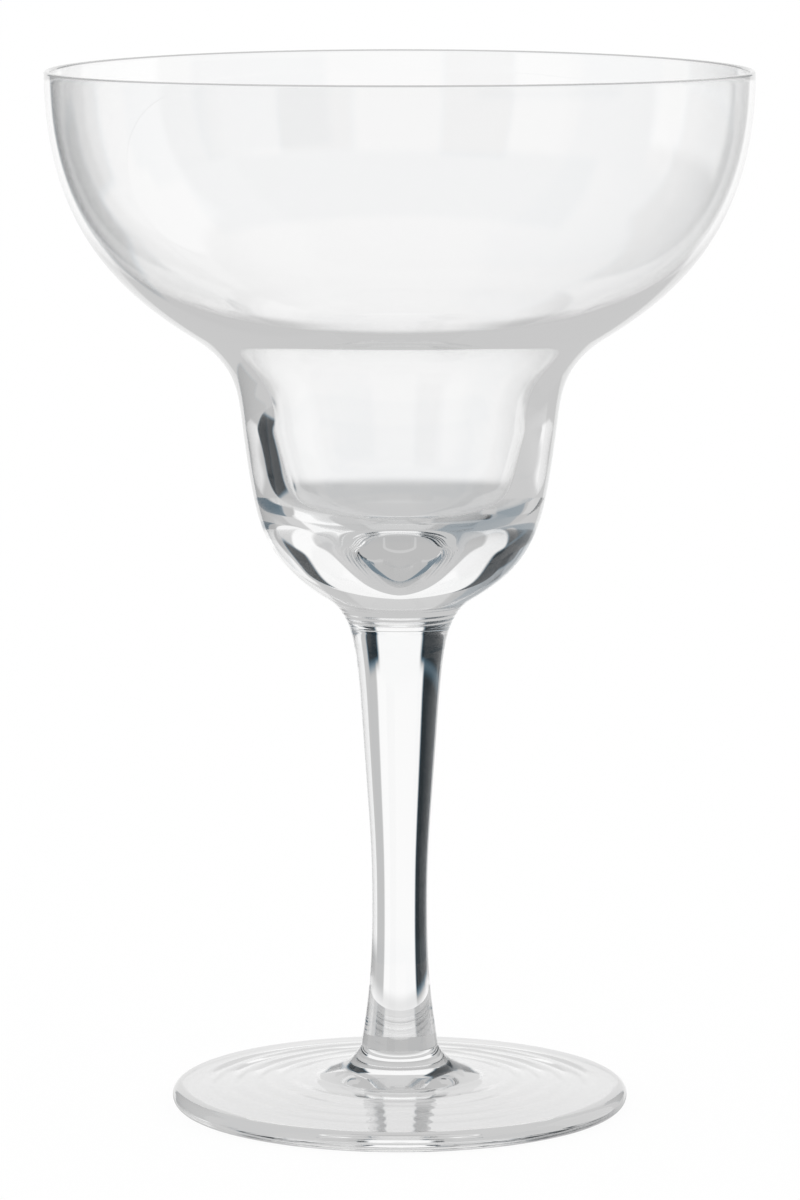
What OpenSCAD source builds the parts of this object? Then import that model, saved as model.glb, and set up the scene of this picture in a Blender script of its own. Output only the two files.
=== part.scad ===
// Margarita glass: a blown bowl, a drawn stem and a spun foot, welded end to end.
// Millimetres, +Z up. The origin is on the table, at the middle of the foot.

/* [Upper bowl] */
// Outside diameter at the rim
rim_d = 117.6; // [104:0.2:130]
// Height from the shoulder up to the rim
bowl_h = 44.4; // [36:0.2:56]
// Wall thickness at the rim
rim_wall = 1; // [0.8:0.1:2]
// Diameter where the upper bowl runs into the shoulder
shoulder_d = 69.8; // [64:0.2:78]
// Wall thickness at the shoulder, square to the wall
shoulder_wall = 2.6; // [1.8:0.1:3.6]

/* [Lower cup] */
// Height from the waist up to the shoulder
shoulder_h = 14.6; // [13:0.2:20]
// Outside diameter at the waist, below the shoulder
waist_d = 52.6; // [50:0.2:56]
// Wall thickness at the waist
waist_wall = 4.8; // [3.6:0.1:5.6]
// Height from the rounded base up to the waist
cup_h = 14; // [12:0.2:26]
// Outside diameter where the rounded base begins
cup_d = 48.2; // [46:0.2:50]
// Height of the rounded base
base_h = 13.8; // [12:0.2:20]

/* [Inside of the cup] */
// Inside diameter where the wall turns in to the floor
floor_d = 39.8; // [37:0.2:41]
// Height of that turn, down to the dip in the floor
turn_h = 10.6; // [9:0.2:12]
// Diameter of the dip
dip_d = 24.4; // [20:0.2:28]
// Depth of the dip
dip_h = 4.8; // [3:0.2:6]
// Glass under the middle of the dip, down to the weld on the stem
floor_wall = 11.6; // [10:0.2:13]

/* [Neck] */
// Diameter where the rounded base runs into the neck
flare_d = 30.2; // [26:0.2:34]
// Height of the neck above its weld
neck_h = 6.2; // [5:0.2:8]
// Diameter of the weld between the neck and the stem
neck_d = 17.4; // [15:0.2:20]

/* [Stem] */
// Length of the flared top of the stem
stem_top_h = 16.4; // [12:0.2:24]
// Diameter under the flared top
stem_top_d = 12.7; // [11:0.1:14]
// Length from the flared top down to the thinnest place
stem_mid_h = 32.6; // [20:0.2:60]
// Diameter at the thinnest place
stem_waist_d = 9.3; // [7:0.1:10.8]
// Length from the thinnest place down to the weld on the foot
stem_low_h = 23; // [14:0.2:40]
// Diameter of the weld between the stem and the foot
stem_low_d = 13; // [11:0.1:15]

/* [Foot] */
// Diameter of the foot
foot_d = 76.8; // [66:0.2:90]
// Thickness of the foot at its rounded edge
foot_edge = 3.4; // [2.6:0.1:4.6]
// Rise of the coned top from the edge to the collar
foot_rise = 1.8; // [0.8:0.1:3]
// Diameter at the bottom of the collar
collar_d = 28; // [24:0.2:34]
// Height of the collar under the stem
collar_h = 4.8; // [3.6:0.1:7]
// Width of the flat ring that the foot stands on
foot_ring = 2; // [1:0.2:6]
// Depth of the hollow inside that ring
foot_hollow = 2.2; // [0.6:0.2:3]

/* [Hidden] */

// Directions of the outline at its stations, in degrees from level, going up and outwards
neck_slope = 64;
flare_slope = 36;
cup_slope = 77;
waist_slope = 83;
shoulder_slope = 32;
rim_slope = 90;
stem_low_slope = 99;
stem_top_slope = 86;
collar_slope = 166;
foot_weld_slope = 118;
hollow_slope = -5;

// The same inside the cup
inner_shoulder_slope = 28;
inner_waist_slope = 79;
turn_slope = 76;
dip_slope = 35;

// Facets of one turn, steps along one curved stretch and steps round an edge
turn_facets = 96;
curve_steps = 10;
edge_steps = 6;

// Heights of the stations, stacked from the table up
foot_cone_z = foot_edge + foot_rise;
foot_weld_z = foot_cone_z + collar_h;
stem_waist_z = foot_weld_z + stem_low_h;
stem_top_z = stem_waist_z + stem_mid_h;
neck_weld_z = stem_top_z + stem_top_h;
flare_z = neck_weld_z + neck_h;
cup_z = flare_z + base_h;
waist_z = cup_z + cup_h;
shoulder_z = waist_z + shoulder_h;
glass_h = shoulder_z + bowl_h;

// The same inside the cup
floor_z = neck_weld_z + floor_wall;
dip_z = floor_z + dip_h;
turn_z = dip_z + turn_h;

// The lip is rounded over the whole wall, and the foot's edge over its whole thickness
lip_r = rim_wall / 2;
lip_z = glass_h - lip_r;
foot_edge_r = foot_edge / 2;
foot_flat_r = foot_d / 2 - foot_edge_r;

function along(slope) = [cos(slope), sin(slope)];

// The direction square to a slope on its inner side, and the one that runs back down it
function square(slope) = slope + 90;
function back(slope) = slope + 180;

// A smooth stretch from p to q, leaving in one direction and arriving in the other.
// Each pull is how far that direction is followed, as a share of the straight distance.
function bend(p, p_slope, q, q_slope, p_pull_share, q_pull_share) =
    let (
        span = norm(q - p),
        p_handle = p + along(p_slope) * span * p_pull_share,
        q_handle = q - along(q_slope) * span * q_pull_share
    )
    [for (i = [0 : curve_steps - 1])
        let (t = i / curve_steps, s = 1 - t)
        s * s * s * p + 3 * s * s * t * p_handle + 3 * s * t * t * q_handle + t * t * t * q];

// The inside of the same stretch, from q back to p with both ends left out.
// The points are moved in square to the outside by a wall that thins soon after p.
function bend_inside(p, p_slope, q, q_slope, p_pull_share, q_pull_share, p_wall, q_wall) =
    let (
        span = norm(q - p),
        p_handle = p + along(p_slope) * span * p_pull_share,
        q_handle = q - along(q_slope) * span * q_pull_share
    )
    [for (i = [curve_steps - 1 : -1 : 1])
        let (
            t = i / curve_steps,
            s = 1 - t,
            point = s * s * s * p + 3 * s * s * t * p_handle + 3 * s * t * t * q_handle + t * t * t * q,
            way = s * s * (p_handle - p) + 2 * s * t * (q_handle - p_handle) + t * t * (q - q_handle),
            wall = q_wall + (p_wall - q_wall) * s * s * s * s
        )
        point + [-way.y, way.x] / norm(way) * wall];

// Points round an arc, both ends in
function arc(centre, r, from, to) =
    [for (i = [0 : edge_steps]) centre + along(from + (to - from) * i / edge_steps) * r];

module turned(outline) {
    rotate_extrude($fn = turn_facets) polygon(outline);
}

// Stations where two pieces or two stretches meet, as radius and height
foot_weld = [stem_low_d / 2, foot_weld_z];
neck_weld = [neck_d / 2, neck_weld_z];
flare = [flare_d / 2, flare_z];
cup = [cup_d / 2, cup_z];
waist = [waist_d / 2, waist_z];
shoulder = [shoulder_d / 2, shoulder_z];
rim = [rim_d / 2, lip_z];
inner_shoulder = shoulder + along(square(shoulder_slope)) * shoulder_wall;
inner_waist = waist - [waist_wall, 0];
floor_turn = [floor_d / 2, turn_z];
dip = [dip_d / 2, dip_z];
dip_foot = [0, floor_z];

// Wide upper bowl, shoulder and heavy lower cup in one blown wall, on a solid base and a short neck
module bowl() {
    color([0.72, 0.86, 0.92, 0.6])
    turned(concat(
        [[0, neck_weld_z]],
        bend(neck_weld, neck_slope, flare, flare_slope, 0.53, 0.46),
        bend(flare, flare_slope, cup, cup_slope, 0.33, 0.46),
        bend(cup, cup_slope, waist, waist_slope, 0.28, 0.28),
        bend(waist, waist_slope, shoulder, shoulder_slope, 0.32, 0.52),
        bend(shoulder, shoulder_slope, rim, rim_slope, 0.31, 0.49),
        arc(rim - [lip_r, 0], lip_r, 0, back(0)),
        bend_inside(shoulder, shoulder_slope, rim, rim_slope, 0.31, 0.49, shoulder_wall, rim_wall),
        bend(inner_shoulder, back(inner_shoulder_slope), inner_waist, back(inner_waist_slope), 0.37, 0.37),
        bend(inner_waist, back(inner_waist_slope), floor_turn, back(turn_slope), 0.33, 0.33),
        bend(floor_turn, back(turn_slope), dip, back(dip_slope), 0.52, 0.52),
        bend(dip, back(dip_slope), dip_foot, back(0), 0.24, 0.24),
        [dip_foot]
    ));
}

// Solid drawn rod, thinnest a third of the way up
module stem() {
    stem_waist = [stem_waist_d / 2, stem_waist_z];
    stem_top = [stem_top_d / 2, stem_top_z];
    color([0.6, 0.78, 0.88, 0.6])
    turned(concat(
        [[0, foot_weld_z]],
        bend(foot_weld, stem_low_slope, stem_waist, square(0), 0.26, 0.48),
        bend(stem_waist, square(0), stem_top, stem_top_slope, 0.34, 0.6),
        bend(stem_top, stem_top_slope, neck_weld, neck_slope, 0.34, 0.2),
        [neck_weld, [0, neck_weld_z]]
    ));
}

// Spun disc on a flat ring, with a rounded edge, a coned top and a collar that runs up into the stem
module foot() {
    ring_inner = [foot_flat_r - foot_ring, 0];
    hollow_top = [0, foot_hollow];
    collar = [collar_d / 2, foot_cone_z];
    color([0.82, 0.9, 0.88, 0.6])
    turned(concat(
        bend(hollow_top, 0, ring_inner, hollow_slope, 0.4, 0.33),
        [ring_inner],
        arc([foot_flat_r, foot_edge_r], foot_edge_r, -square(0), square(0)),
        bend(collar, collar_slope, foot_weld, foot_weld_slope, 0.53, 0.39),
        [foot_weld, [0, foot_weld_z]]
    ));
}

bowl();
stem();
foot();
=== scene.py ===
"""Looks of the margarita glass: three pieces of clear soda-lime glass, a studio surround and the camera."""

import math

import bpy
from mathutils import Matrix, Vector


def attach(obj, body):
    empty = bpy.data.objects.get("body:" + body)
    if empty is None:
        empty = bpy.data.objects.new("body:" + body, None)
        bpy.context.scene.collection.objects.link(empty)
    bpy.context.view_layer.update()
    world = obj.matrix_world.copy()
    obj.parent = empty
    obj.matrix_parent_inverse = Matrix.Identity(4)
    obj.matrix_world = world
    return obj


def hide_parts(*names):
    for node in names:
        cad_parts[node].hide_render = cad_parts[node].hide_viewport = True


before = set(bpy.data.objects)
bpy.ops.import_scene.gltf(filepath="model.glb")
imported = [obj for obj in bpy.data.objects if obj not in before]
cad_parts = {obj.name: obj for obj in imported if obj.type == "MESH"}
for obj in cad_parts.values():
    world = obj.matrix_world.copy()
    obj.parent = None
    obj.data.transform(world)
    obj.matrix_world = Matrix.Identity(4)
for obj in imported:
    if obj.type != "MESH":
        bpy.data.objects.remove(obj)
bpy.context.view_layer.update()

MM = 0.001
QUARTER_TURN = math.pi / 2
FULL_TURN = 2 * math.pi

# The camera's place and lens, which a program worked out from the photograph's outline and rims
CAMERA_PLACE_MM = (0.05, -985.2, 225.2)
CAMERA_DOWN_DEG = 8.05
CAMERA_LENS_MM = 178.3

# Surface spacing of the turned outlines, steps of one turn, and how far a corner may bend and look smooth
OUTLINE_STEP_MM = 0.7
TURN_STEPS = 192
SMOOTH_BELOW_DEG = 50

# Heights of the glass and of its two welds, and the direction of the outline through the upper weld
GLASS_MM = 175
FOOT_WELD_MM = 10
NECK_WELD_MM = 82
NECK_SLOPE = 64

# How far the rim sinks at the left and right, and how far below it the sinking starts
RIM_DIP_MM = 0.55
RIM_DIP_REACH_MM = 25

# The renderer counts the turns and surfaces of a light path in whole numbers, and each of these
# limits lies halfway: caught after four turns inside the glass, both walls crossed, no turn at all
CAUGHT_TURNS = 4.5
BOTH_WALLS = 3.5
NO_TURN = 0.5


def place_camera():
    data = bpy.data.cameras.new("photo_camera")
    data.lens = CAMERA_LENS_MM
    data.sensor_width = 36
    camera = bpy.data.objects.new("photo_camera", data)
    camera.location = [v * MM for v in CAMERA_PLACE_MM]
    camera.rotation_euler = (QUARTER_TURN - math.radians(CAMERA_DOWN_DEG), 0, 0)
    bpy.context.scene.collection.objects.link(camera)
    bpy.context.scene.camera = camera


def along(slope):
    """The direction of a slope in degrees from level, going up and outwards."""
    return Vector((math.cos(math.radians(slope)), math.sin(math.radians(slope))))


def bend(p, p_slope, q, q_slope, p_pull, q_pull, step=OUTLINE_STEP_MM):
    """Points of a smooth stretch from p to q in mm, the end point left out, as in the CAD source."""
    p, q = Vector(p), Vector(q)
    span = (q - p).length
    p_handle = p + along(p_slope) * span * p_pull
    q_handle = q - along(q_slope) * span * q_pull
    steps = max(4, round(span / step))
    points = []
    for i in range(steps):
        t = i / steps
        s = 1 - t
        points.append(s**3 * p + 3 * s * s * t * p_handle + 3 * s * t * t * q_handle + t**3 * q)
    return points


def back(slope):
    return slope + 180


def arc(centre, radius, start, end, steps):
    """Points round an arc in mm, both ends in."""
    centre = Vector(centre)
    return [centre + along(start + (end - start) * i / steps) * radius for i in range(steps + 1)]


def wall_inside(p, p_slope, q, q_slope, p_pull, q_pull, p_wall, q_wall):
    """The inside of a bend, from q back to p with both ends left out: the wall thins soon after p."""
    outside = bend(p, p_slope, q, q_slope, p_pull, q_pull)
    points = []
    for i in range(1, len(outside)):
        t = i / len(outside)
        ahead = outside[i + 1] if i + 1 < len(outside) else Vector(q)
        way = (ahead - outside[i - 1]).normalized()
        wall = q_wall + (p_wall - q_wall) * (1 - t)**4
        points.append(outside[i] + Vector((-way.y, way.x)) * wall)
    return points[::-1]


def ringed(points, spacing, depth, reach):
    """Presses shallow rings into the start of a stretch, as the turning tool leaves them; sizes in mm."""
    pressed = []
    walked = 0
    for here, there in zip(points, points[1:] + points[-1:]):
        way = there - here
        push = 0
        if way.length > 0 and walked < reach:
            fade = min(1, walked / spacing, (reach - walked) / spacing)
            push = depth * fade * (1 - math.cos(FULL_TURN * walked / spacing)) / 2
            here = here + Vector((-way.y, way.x)).normalized() * push
        pressed.append(here)
        walked += way.length
    return pressed


# The sizes in the three outlines are those of the CAD source. Programs found most of them from the
# photograph's edge and from light followed through the wall, and they were then rounded


def bowl_outline():
    neck_weld, flare, cup = (8.7, NECK_WELD_MM), (15.1, 88.2), (24.1, 102)
    waist, shoulder = (26.3, 116), (34.9, 130.6)
    flare_slope, cup_slope, waist_slope, shoulder_slope, rim_slope = 36, 77, 83, 32, 90
    rim_wall, shoulder_wall = 1, 2.6
    lip_r = rim_wall / 2
    rim = Vector((58.8, GLASS_MM - lip_r))
    inner_shoulder = Vector(shoulder) + along(shoulder_slope + 90) * shoulder_wall
    inner_waist, floor_turn = (21.5, 116), (19.9, 109)
    dip, dip_foot = (12.2, 98.4), (0, 93.6)
    inner_shoulder_slope, inner_waist_slope, turn_slope, dip_slope = 28, 79, 76, 35
    neck = bend(neck_weld, NECK_SLOPE, flare, flare_slope, 0.53, 0.46, step=0.12)
    return [
        Vector((0, NECK_WELD_MM)),
        *ringed(neck, spacing=1, depth=0.1, reach=4.2),
        *bend(flare, flare_slope, cup, cup_slope, 0.33, 0.46, step=0.5),
        *bend(cup, cup_slope, waist, waist_slope, 0.28, 0.28),
        *bend(waist, waist_slope, shoulder, shoulder_slope, 0.32, 0.52, step=0.5),
        *bend(shoulder, shoulder_slope, rim, rim_slope, 0.31, 0.49),
        *arc(rim - Vector((lip_r, 0)), lip_r, 0, back(0), steps=12),
        *wall_inside(shoulder, shoulder_slope, rim, rim_slope, 0.31, 0.49, shoulder_wall, rim_wall),
        *bend(
            inner_shoulder, back(inner_shoulder_slope), inner_waist, back(inner_waist_slope),
            0.37, 0.37, step=0.5,
        ),
        *bend(inner_waist, back(inner_waist_slope), floor_turn, back(turn_slope), 0.33, 0.33),
        *bend(floor_turn, back(turn_slope), dip, back(dip_slope), 0.52, 0.52, step=0.4),
        *bend(dip, back(dip_slope), dip_foot, back(0), 0.24, 0.24, step=0.4),
        Vector(dip_foot),
    ]


def stem_outline():
    low, thinnest = (6.5, FOOT_WELD_MM), (4.65, 33)
    top, neck_weld = (6.35, 65.6), (8.7, NECK_WELD_MM)
    low_slope, thinnest_slope, top_slope = 99, 90, 86
    return [
        Vector((0, FOOT_WELD_MM)),
        *bend(low, low_slope, thinnest, thinnest_slope, 0.26, 0.48),
        *bend(thinnest, thinnest_slope, top, top_slope, 0.34, 0.6),
        *bend(top, top_slope, neck_weld, NECK_SLOPE, 0.34, 0.2, step=0.5),
        Vector(neck_weld),
        Vector((0, NECK_WELD_MM)),
    ]


def foot_outline():
    edge_r = 1.7
    flat_r = 38.4 - edge_r
    hollow_top, ring_inner = (0, 2.2), (flat_r - 2, 0)
    edge_top = (flat_r - 0.2, 2 * edge_r + 0.02)
    collar, weld = (14, 5.2), (6.5, FOOT_WELD_MM)
    hollow_slope, cone_slope, collar_slope, weld_slope = -5, 175.5, 166, 118
    cone = bend(edge_top, cone_slope, collar, cone_slope, 0.33, 0.33, step=0.4)
    return [
        *bend(hollow_top, 0, ring_inner, hollow_slope, 0.4, 0.33),
        Vector(ring_inner),
        *arc((flat_r, edge_r), edge_r, -90, 90, steps=16),
        *ringed(cone, spacing=3.8, depth=0.05, reach=22),
        *bend(collar, collar_slope, weld, weld_slope, 0.53, 0.39, step=0.3),
        Vector(weld),
        Vector((0, FOOT_WELD_MM)),
    ]


def turned(name, outline):
    """Draws the outline by extruding one corner point after another, then spins it round +Z."""
    bpy.ops.object.select_all(action="DESELECT")
    bpy.ops.mesh.primitive_plane_add(size=2 * MM)
    piece = bpy.context.object
    piece.name = piece.data.name = name
    bpy.ops.object.mode_set(mode="EDIT")
    bpy.ops.mesh.select_all(action="SELECT")
    bpy.ops.mesh.merge(type="CENTER")
    bpy.ops.transform.translate(value=(outline[0].x * MM, 0, outline[0].y * MM))
    for here, there in zip(outline, outline[1:]):
        step = (there - here) * MM
        bpy.ops.mesh.extrude_vertices_move(TRANSFORM_OT_translate={"value": (step.x, 0, step.y)})
    bpy.ops.mesh.select_all(action="SELECT")
    bpy.ops.mesh.spin(steps=TURN_STEPS, angle=FULL_TURN, center=(0, 0, 0), axis=(0, 0, 1))
    bpy.ops.mesh.select_all(action="SELECT")
    bpy.ops.mesh.remove_doubles(threshold=0.002 * MM)
    bpy.ops.mesh.normals_make_consistent(inside=False)
    bpy.ops.mesh.select_all(action="DESELECT")
    bpy.ops.object.mode_set(mode="OBJECT")
    bpy.ops.object.shade_smooth_by_angle(angle=math.radians(SMOOTH_BELOW_DEG))
    return piece


def dip_rim(piece):
    """Lets the rim sink a little at the left and right, as a blown rim does when it is fire polished."""
    start = (GLASS_MM - RIM_DIP_REACH_MM) * MM
    for vertex in piece.data.vertices:
        if vertex.co.z > start:
            share = (vertex.co.z - start) / (RIM_DIP_REACH_MM * MM)
            aside = vertex.co.x / math.hypot(vertex.co.x, vertex.co.y)
            vertex.co.z -= RIM_DIP_MM * MM * share**2 * aside**2


def face_slot(piece, material, heights_mm):
    """Gives the level weld faces at these heights their own material."""
    piece.data.materials.append(material)
    slot = len(piece.data.materials) - 1
    level, close = 0.999, 0.01 * MM
    for face in piece.data.polygons:
        at_weld = any(abs(face.center.z - h * MM) < close for h in heights_mm)
        if at_weld and abs(face.normal.z) > level:
            face.material_index = slot


def hex_colour(code):
    """A linear colour from an sRGB hex value."""
    channels = [int(code[i:i + 2], 16) / 255 for i in (0, 2, 4)]
    return (*[c / 12.92 if c <= 0.04045 else ((c + 0.055) / 1.055) ** 2.4 for c in channels], 1)


def add(tree, kind, inputs=None, **settings):
    """Adds a node; an input is linked if it is given as a socket, and set if it is a value."""
    made = tree.nodes.new(kind)
    for name, value in settings.items():
        setattr(made, name, value)
    for name, value in (inputs or {}).items():
        if isinstance(value, bpy.types.NodeSocket):
            tree.links.new(value, made.inputs[name])
        else:
            made.inputs[name].default_value = value
    return made


def new_material(name):
    material = bpy.data.materials.new(name)
    material.use_nodes = True
    material.node_tree.nodes.clear()
    return material, material.node_tree


def clear_glass(name, stretch, wave_mm, wave_height_mm, painted_caught_glow):
    """Stretch flattens or draws out the waves along x, y and z; the tone is a painted glow that stands in
    for light that stays caught.
    """
    material, tree = new_material(name)
    place = add(tree, "ShaderNodeTexCoord").outputs["Object"]
    drawn = add(tree, "ShaderNodeMapping", {"Vector": place, "Scale": stretch}).outputs["Vector"]
    waves = add(tree, "ShaderNodeTexNoise", {
        "Vector": drawn, "Scale": 1 / (wave_mm * MM), "Detail": 1.0, "Roughness": 0.4,
    }).outputs[0]
    skin = add(tree, "ShaderNodeBump", {"Height": waves, "Distance": wave_height_mm * MM}).outputs["Normal"]
    # Painted glow: where light is still caught in the wall at the last turn that is followed, the glass
    # glows one grey in its place
    turns = add(tree, "ShaderNodeLightPath").outputs["Glossy Depth"]
    caught = add(tree, "ShaderNodeMath", {
        0: turns, 1: CAUGHT_TURNS,
    }, operation="GREATER_THAN").outputs[0]
    shader = add(tree, "ShaderNodeBsdfPrincipled", {
        "Base Color": (1, 1, 1, 1),
        "Roughness": 0.0,
        "IOR": 1.52,
        "Transmission Weight": 1.0,
        "Normal": skin,
        "Emission Color": hex_colour(painted_caught_glow),
        "Emission Strength": caught,
    })
    add(tree, "ShaderNodeOutputMaterial", {"Surface": shader.outputs["BSDF"]})
    return material


def fused_weld():
    """Where two gathers were fused hot there is no surface left to see, and light goes straight on."""
    material, tree = new_material("Soda-lime glass, fused hot")
    shader = add(tree, "ShaderNodeBsdfTransparent", {"Color": (1, 1, 1, 1)})
    add(tree, "ShaderNodeOutputMaterial", {"Surface": shader.outputs["BSDF"]})
    return material


# What stands round the glass, each over what comes before it: what it is, sideways from and to in
# degrees from behind the glass towards its right, upwards from and to, tone. These numbers were not
# found by hand. A program fitted 24 patches to the photograph: eleven rows are patches of that fit,
# rounded to 5 degrees, and the other four are patches of it joined or cut. The names were given
# afterwards. The room's tone and PAINTED_TABLE_SHADOW come from the same fit
ROOM_TONE = 0.5
SCREENS = (
    ("ceiling on the right", -25, 115, 25, 70, 0.65),
    ("backdrop", -25, 25, -20, 30, 1.0),
    ("grey wall on the right", 25, 80, -25, 55, 0.55),
    ("white sheet on the right", 45, 90, -15, 45, 1.0),
    ("dark card on the right", 20, 35, 0, 25, 0.015),
    ("ceiling on the left", -115, -35, 20, 70, 0.4),
    ("wall on the left", -115, -80, -25, 25, 0.35),
    ("dark card on the left, low", -65, -25, -30, 0, 0.015),
    ("dark card on the left, high", -65, -20, 0, 35, 0.015),
    ("doorway on the right", 105, 155, -5, 25, 0.2),
    ("dark stand behind the camera", 195, 220, -20, 30, 0.015),
    ("pale wall behind the camera", 220, 240, -20, 25, 0.65),
    ("table in front", 110, 260, -45, -20, 0.25),
    ("table on the left", -85, -50, -45, -20, 0.55),
    ("table at the back, in painted shade", -25, 55, -70, -20, 0.6),
)
SOFT_DEG = 4

# The dark cards are a little blue, and so is all that is darker than this
DARK_TINT = "80d4ff"
NEUTRAL_TONE = 0.5

# Lower than this, clear glass shows the white table, except the part the glass itself shades, which keeps
# the surround's grey as painted shade, and farther round than this it shows the white behind the camera
TABLE_BELOW_DEG = -20
BEHIND_CAMERA_DEG = 97
SHADED_TURN_DEG = (-30, 40)
SHADED_RISE_DEG = (-60, -24)

# These lie past the ends of their scales, so that a band reaching to them stays open there
UNDER_ALL_DEG = -95
ROUND_ALL_DEG = 185

# The glass's shadow on the table under the foot, painted and seen through the glass: how far out from the
# foot's middle it reaches, how soft its edge, and its tone seen straight and by way of a turn in the wall
TABLE_REACH_MM = 41
TABLE_SOFT_MM = 6
PAINTED_TABLE_SHADOW = 0.65
TURNED_PAINTED_TABLE_SHADOW = 0.5

# The floor's own white as a share, the rest being the studio's light on it, with the object's shadow
FLOOR_WHITE_SHARE = 0.95
FLOOR_M = 12
FLOOR_DROP_MM = 0.05


def band(tree, value, low, high, soft):
    """1 between low and high and 0 outside, with edges that many units soft."""
    up = add(tree, "ShaderNodeMapRange", {
        "Value": value, "From Min": low - soft / 2, "From Max": low + soft / 2,
    }, interpolation_type="SMOOTHSTEP").outputs["Result"]
    down = add(tree, "ShaderNodeMapRange", {
        "Value": value, "From Min": high - soft / 2, "From Max": high + soft / 2,
        "To Min": 1.0, "To Max": 0.0,
    }, interpolation_type="SMOOTHSTEP").outputs["Result"]
    return add(tree, "ShaderNodeMath", {0: up, 1: down}, operation="MULTIPLY").outputs[0]


def studio():
    """A grey room with dark and pale screens in it, painted by direction."""
    world = bpy.data.worlds.new("studio")
    bpy.context.scene.world = world
    world.use_nodes = True
    tree = world.node_tree
    tree.nodes.clear()
    place = add(tree, "ShaderNodeTexCoord").outputs["Generated"]
    way = add(tree, "ShaderNodeSeparateXYZ", {0: place}).outputs
    side = add(tree, "ShaderNodeMath", {0: way["X"], 1: way["Y"]}, operation="ARCTAN2").outputs[0]
    turn = add(tree, "ShaderNodeMath", {0: side}, operation="DEGREES").outputs[0]
    climb = add(tree, "ShaderNodeMath", {0: way["Z"]}, operation="ARCSINE").outputs[0]
    rise = add(tree, "ShaderNodeMath", {0: climb}, operation="DEGREES").outputs[0]
    tone = ROOM_TONE
    for name, left, right, low, high, screen in SCREENS:
        middle = (left + right) / 2
        across = add(tree, "ShaderNodeMath", {
            0: turn, 1: middle + 180, 2: middle - 180,
        }, operation="WRAP").outputs[0]
        share = add(tree, "ShaderNodeMath", {
            0: band(tree, across, left, right, SOFT_DEG), 1: band(tree, rise, low, high, SOFT_DEG),
        }, operation="MULTIPLY").outputs[0]
        tone = add(tree, "ShaderNodeMix", {
            0: share, 2: tone, 3: screen,
        }, data_type="FLOAT", label=name).outputs[0]

    # Light that came straight through both walls, down to the table or out behind the camera
    # shows the white all round, as the page does
    path = add(tree, "ShaderNodeLightPath").outputs
    walls = add(tree, "ShaderNodeMath", {
        0: path["Transmission Depth"], 1: BOTH_WALLS,
    }, operation="GREATER_THAN").outputs[0]
    down = band(tree, rise, UNDER_ALL_DEG, TABLE_BELOW_DEG, SOFT_DEG)
    aside = add(tree, "ShaderNodeMath", {0: turn}, operation="ABSOLUTE").outputs[0]
    behind = band(tree, aside, BEHIND_CAMERA_DEG, ROUND_ALL_DEG, SOFT_DEG)
    lower = add(tree, "ShaderNodeMath", {0: walls, 1: down}, operation="MAXIMUM").outputs[0]
    either = add(tree, "ShaderNodeMath", {0: lower, 1: behind}, operation="MAXIMUM").outputs[0]
    unreflected = add(tree, "ShaderNodeMath", {
        0: path["Glossy Depth"], 1: NO_TURN,
    }, operation="LESS_THAN").outputs[0]
    straight = add(tree, "ShaderNodeMath", {0: either, 1: unreflected}, operation="MULTIPLY").outputs[0]
    # Painted shade: where the glass shades the table, light seen through the glass keeps the grey of the
    # screens instead of the white
    shaded = add(tree, "ShaderNodeMath", {
        0: band(tree, turn, *SHADED_TURN_DEG, SOFT_DEG),
        1: band(tree, rise, *SHADED_RISE_DEG, 2 * SOFT_DEG),
    }, operation="MULTIPLY").outputs[0]
    white = add(tree, "ShaderNodeMix", {0: shaded, 2: straight, 3: 0.0}, data_type="FLOAT").outputs[0]
    for share in (white, path["Is Camera Ray"], path["Is Diffuse Ray"]):
        tone = add(tree, "ShaderNodeMix", {0: share, 2: tone, 3: 1.0}, data_type="FLOAT").outputs[0]

    paleness = add(tree, "ShaderNodeMapRange", {
        "Value": tone, "From Min": 0.0, "From Max": NEUTRAL_TONE,
    }).outputs["Result"]
    tint = add(tree, "ShaderNodeMix", {
        0: paleness, 6: hex_colour(DARK_TINT), 7: (1, 1, 1, 1),
    }, data_type="RGBA").outputs[2]
    back = add(tree, "ShaderNodeBackground", {"Color": tint, "Strength": tone})
    add(tree, "ShaderNodeOutputWorld", {"Surface": back.outputs["Background"]})


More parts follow.
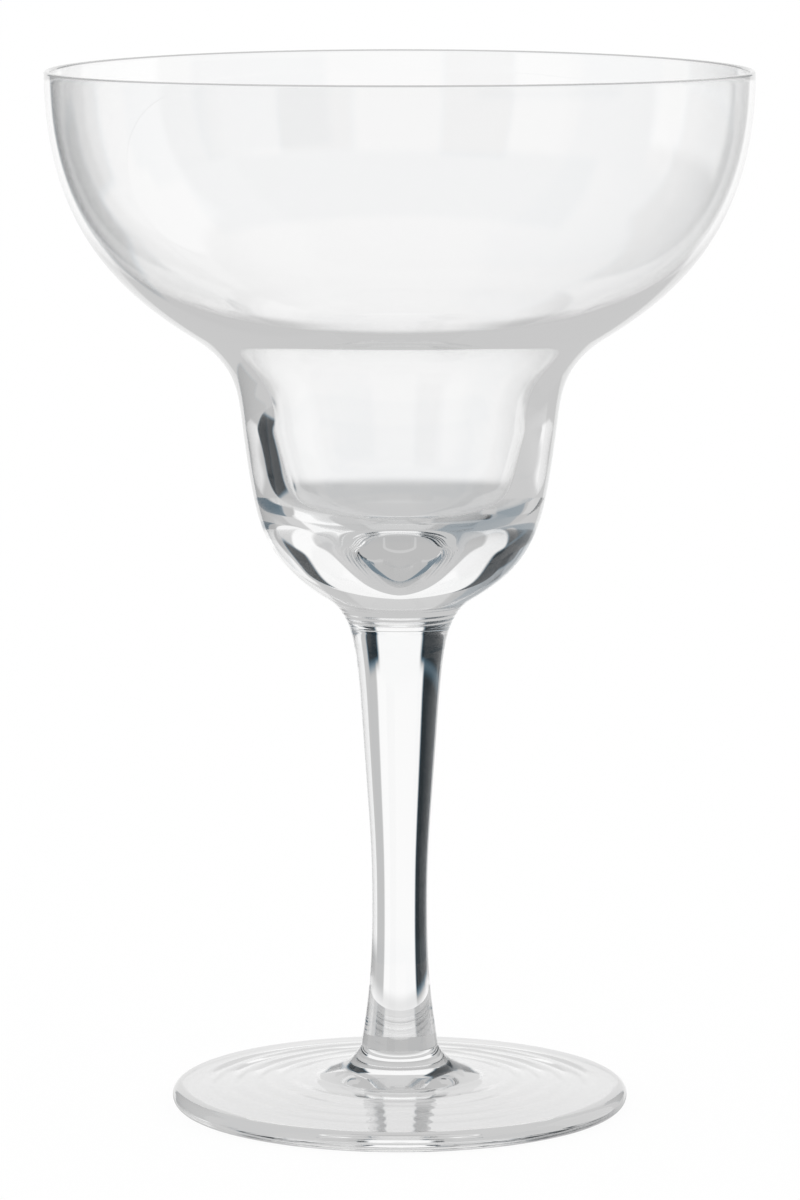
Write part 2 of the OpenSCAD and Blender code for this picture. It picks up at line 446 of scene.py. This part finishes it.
def lay_floor():
    bpy.ops.object.select_all(action="DESELECT")
    bpy.ops.mesh.primitive_plane_add(size=FLOOR_M, location=(0, 0, -FLOOR_DROP_MM * MM))
    floor = bpy.context.object
    floor.name = "floor"
    material, tree = new_material("White studio table")
    lit = add(tree, "ShaderNodeBsdfDiffuse", {"Color": hex_colour("ffffff")})
    glow = add(tree, "ShaderNodeEmission", {"Color": (1, 1, 1, 1), "Strength": 1.0})
    seen = add(tree, "ShaderNodeMixShader", {0: FLOOR_WHITE_SHARE, 1: lit.outputs[0], 2: glow.outputs[0]})
    # Painted shadow: through the glass the table under the foot glows grey in place of the glass's shadow,
    # and greyer by way of a turn in the wall. Farther off the surround shows instead
    path = add(tree, "ShaderNodeLightPath").outputs
    grey = add(tree, "ShaderNodeMapRange", {
        "Value": path["Glossy Depth"], "To Min": PAINTED_TABLE_SHADOW, "To Max": TURNED_PAINTED_TABLE_SHADOW,
    }).outputs["Result"]
    shade = add(tree, "ShaderNodeEmission", {"Color": (1, 1, 1, 1), "Strength": grey})
    clear = add(tree, "ShaderNodeBsdfTransparent", {"Color": (1, 1, 1, 1)})
    place = add(tree, "ShaderNodeTexCoord").outputs["Object"]
    far = add(tree, "ShaderNodeVectorMath", {0: place}, operation="LENGTH").outputs["Value"]
    near = band(tree, far, -TABLE_REACH_MM * MM, TABLE_REACH_MM * MM, TABLE_SOFT_MM * MM)
    through = add(tree, "ShaderNodeMixShader", {0: near, 1: clear.outputs[0], 2: shade.outputs[0]})
    mix = add(tree, "ShaderNodeMixShader", {
        0: path["Is Camera Ray"], 1: through.outputs[0], 2: seen.outputs[0],
    })
    add(tree, "ShaderNodeOutputMaterial", {"Surface": mix.outputs[0]})
    floor.data.materials.append(material)


bpy.context.scene.view_settings.view_transform = "Standard"
place_camera()

WELD = fused_weld()
# The last value of each glass is the grey of its painted glow, where light stays caught in the wall
# Blown in a mould and turned, then fire polished: bright and smooth, with slow waves in the wall
BLOWN = clear_glass("Soda-lime glass, blown and fire polished", (1, 1, 0.6), 14, 0.008, "c8c8c8")
# Drawn out hot: the waves run along the stem, so its light and dark bands have straight edges
DRAWN = clear_glass("Soda-lime glass, drawn into a stem", (1, 1, 0.08), 5, 0.005, "bcbcbc")
# Spun flat from a gather: the turning leaves low rings, modelled, and uneven ripples between them
SPUN = clear_glass("Soda-lime glass, spun into a foot", (1, 1, 1), 10, 0.018, "cbcbcb")
PIECES = (
    ("blown_bowl", "bowl", bowl_outline(), BLOWN, (NECK_WELD_MM,)),
    ("drawn_stem", "stem", stem_outline(), DRAWN, (FOOT_WELD_MM, NECK_WELD_MM)),
    ("spun_foot", "foot", foot_outline(), SPUN, (FOOT_WELD_MM,)),
)
for name, node, outline, glass, welds in PIECES:
    piece = turned(name, outline)
    if node == "bowl":
        dip_rim(piece)
    piece.data.materials.append(glass)
    face_slot(piece, WELD, welds)
    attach(piece, "root")
    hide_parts(node)

studio()
lay_floor()
